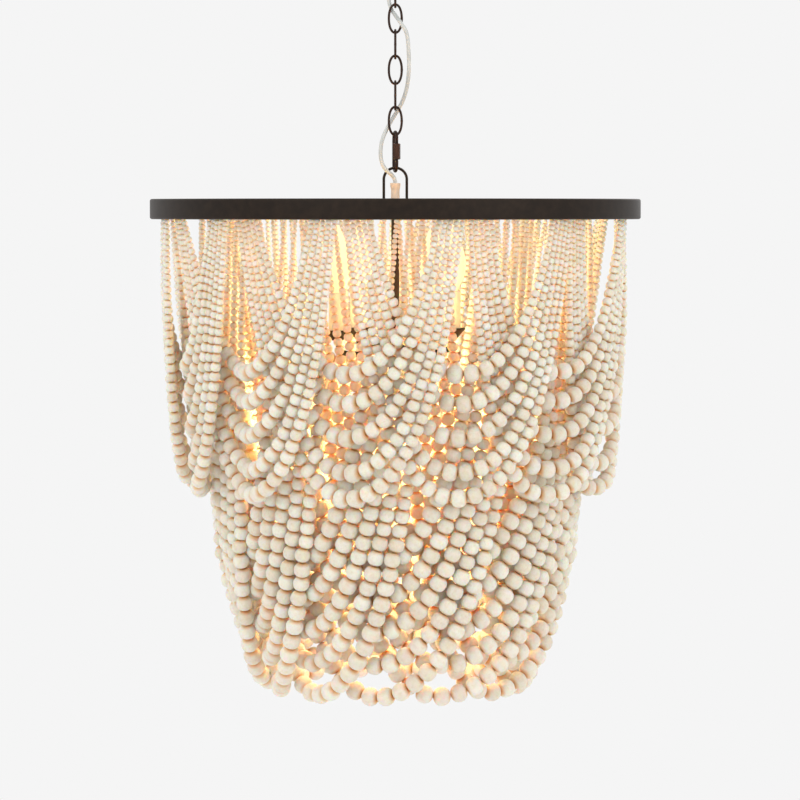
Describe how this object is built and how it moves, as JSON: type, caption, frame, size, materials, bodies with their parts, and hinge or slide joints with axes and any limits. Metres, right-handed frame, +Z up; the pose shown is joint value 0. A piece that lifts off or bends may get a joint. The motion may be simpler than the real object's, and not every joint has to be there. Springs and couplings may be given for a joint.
{
  "type": "beaded chandelier",
  "caption": "Ceiling chandelier hung on a chain: a dark metal ring with two tiers of wooden bead strands in overlapping swags, round candle lamps on arms inside.",
  "frame": {"origin": "the ceiling plane, on the vertical axis that everything hangs on", "axes": "+Z up, square to the ceiling; -Y towards the viewer of the picture; +X to that viewer's right"},
  "size_m": [0.6092, 0.6092, 0.9328],
  "materials": {
    "bronze": "dark bronze, satin",
    "blackened": "blackened, satin",
    "chain_bronze": "brown bronze, satin",
    "steel": "plated, satin",
    "beads": "whitewashed, matte",
    "cord": "clear over pale wires",
    "grip": "pale, slightly translucent",
    "candle": "ivory, satin",
    "lamp_glass": "warm, lit"
  },
  "bodies": {
    "ceiling_set": {"ceiling_canopy": "bronze", "mounting_strap": "steel", "threaded_nipple": "steel", "lock_nut": "steel", "canopy_collar": "bronze", "canopy_loop": "chain_bronze", "supply_cord": "cord"},
    "link_1": {"chain_link_1": "chain_bronze"},
    "link_2": {"chain_link_2": "chain_bronze"},
    "link_3": {"chain_link_3": "chain_bronze"},
    "link_4": {"chain_link_4": "chain_bronze"},
    "link_5": {"chain_link_5": "chain_bronze"},
    "link_6": {"chain_link_6": "chain_bronze"},
    "quick_link": {"quick_link": "chain_bronze"},
    "sleeve": {"quick_link_sleeve": "chain_bronze"},
    "fixture": {"frame_bail": "bronze", "cord_grip": "grip", "frame_arms": "blackened", "outer_ring": "bronze", "inner_ring": "blackened", "upper_swag_1": "beads", "upper_swag_2": "beads", "upper_swag_3": "beads", "upper_swag_4": "beads", "upper_swag_5": "beads", "upper_swag_6": "beads", "upper_swag_7": "beads", "upper_swag_8": "beads", "upper_swag_9": "beads", "upper_swag_10": "beads", "upper_swag_11": "beads", "upper_swag_12": "beads", "lower_swag_1": "beads", "lower_swag_2": "beads", "lower_swag_3": "beads", "lower_swag_4": "beads", "lower_swag_5": "beads", "lower_swag_6": "beads", "lower_swag_7": "beads", "lower_swag_8": "beads", "lower_swag_9": "beads", "lower_swag_10": "beads", "lower_swag_11": "beads", "lower_swag_12": "beads", "stem_tube": "blackened", "stem_nut": "steel", "cluster_body": "blackened", "bottom_finial": "blackened", "lamp_arm_1": "blackened", "lamp_arm_2": "blackened", "lamp_arm_3": "blackened", "lamp_arm_4": "blackened", "candle_sleeve_1": "candle", "candle_sleeve_2": "candle", "candle_sleeve_3": "candle", "candle_sleeve_4": "candle", "lamp_bulb_1": "lamp_glass", "lamp_bulb_2": "lamp_glass", "lamp_bulb_3": "lamp_glass", "lamp_bulb_4": "lamp_glass"}
  },
  "joints": [
    {"name": "link_1_swing", "type": "hinge", "parent": "ceiling_set", "child": "link_1", "pos_m": [0, 0, -0.0626], "axis": [1, 0, 0], "range_deg": [-12, 12], "deforming": ["supply_cord"]},
    {"name": "link_2_swing", "type": "hinge", "parent": "link_1", "child": "link_2", "pos_m": [0, 0, -0.0938], "axis": [0, 1, 0], "range_deg": [-12, 12], "deforming": ["supply_cord"]},
    {"name": "link_3_swing", "type": "hinge", "parent": "link_2", "child": "link_3", "pos_m": [0, 0, -0.1255], "axis": [1, 0, 0], "range_deg": [-12, 12], "deforming": ["supply_cord"]},
    {"name": "link_4_swing", "type": "hinge", "parent": "link_3", "child": "link_4", "pos_m": [0, 0, -0.1572], "axis": [0, 1, 0], "range_deg": [-12, 12], "deforming": ["supply_cord"]},
    {"name": "link_5_swing", "type": "hinge", "parent": "link_4", "child": "link_5", "pos_m": [0, 0, -0.1889], "axis": [1, 0, 0], "range_deg": [-12, 12], "deforming": ["supply_cord"]},
    {"name": "link_6_swing", "type": "hinge", "parent": "link_5", "child": "link_6", "pos_m": [0, 0, -0.2206], "axis": [0, 1, 0], "range_deg": [-12, 12], "deforming": ["supply_cord"]},
    {"name": "quick_link_swing", "type": "hinge", "parent": "link_6", "child": "quick_link", "pos_m": [0, 0, -0.2523], "axis": [1, 0, 0], "range_deg": [-12, 12], "deforming": ["supply_cord"]},
    {"name": "fixture_swing", "type": "hinge", "parent": "quick_link", "child": "fixture", "pos_m": [0, 0, -0.297], "axis": [-0.2079, 0.9781, 0], "range_deg": [-12, 12], "deforming": ["supply_cord"]},
    {"name": "sleeve_slide", "type": "slide", "parent": "quick_link", "child": "sleeve", "axis": [0, 0, 1], "range_m": [0, 0.005]}
  ]
}
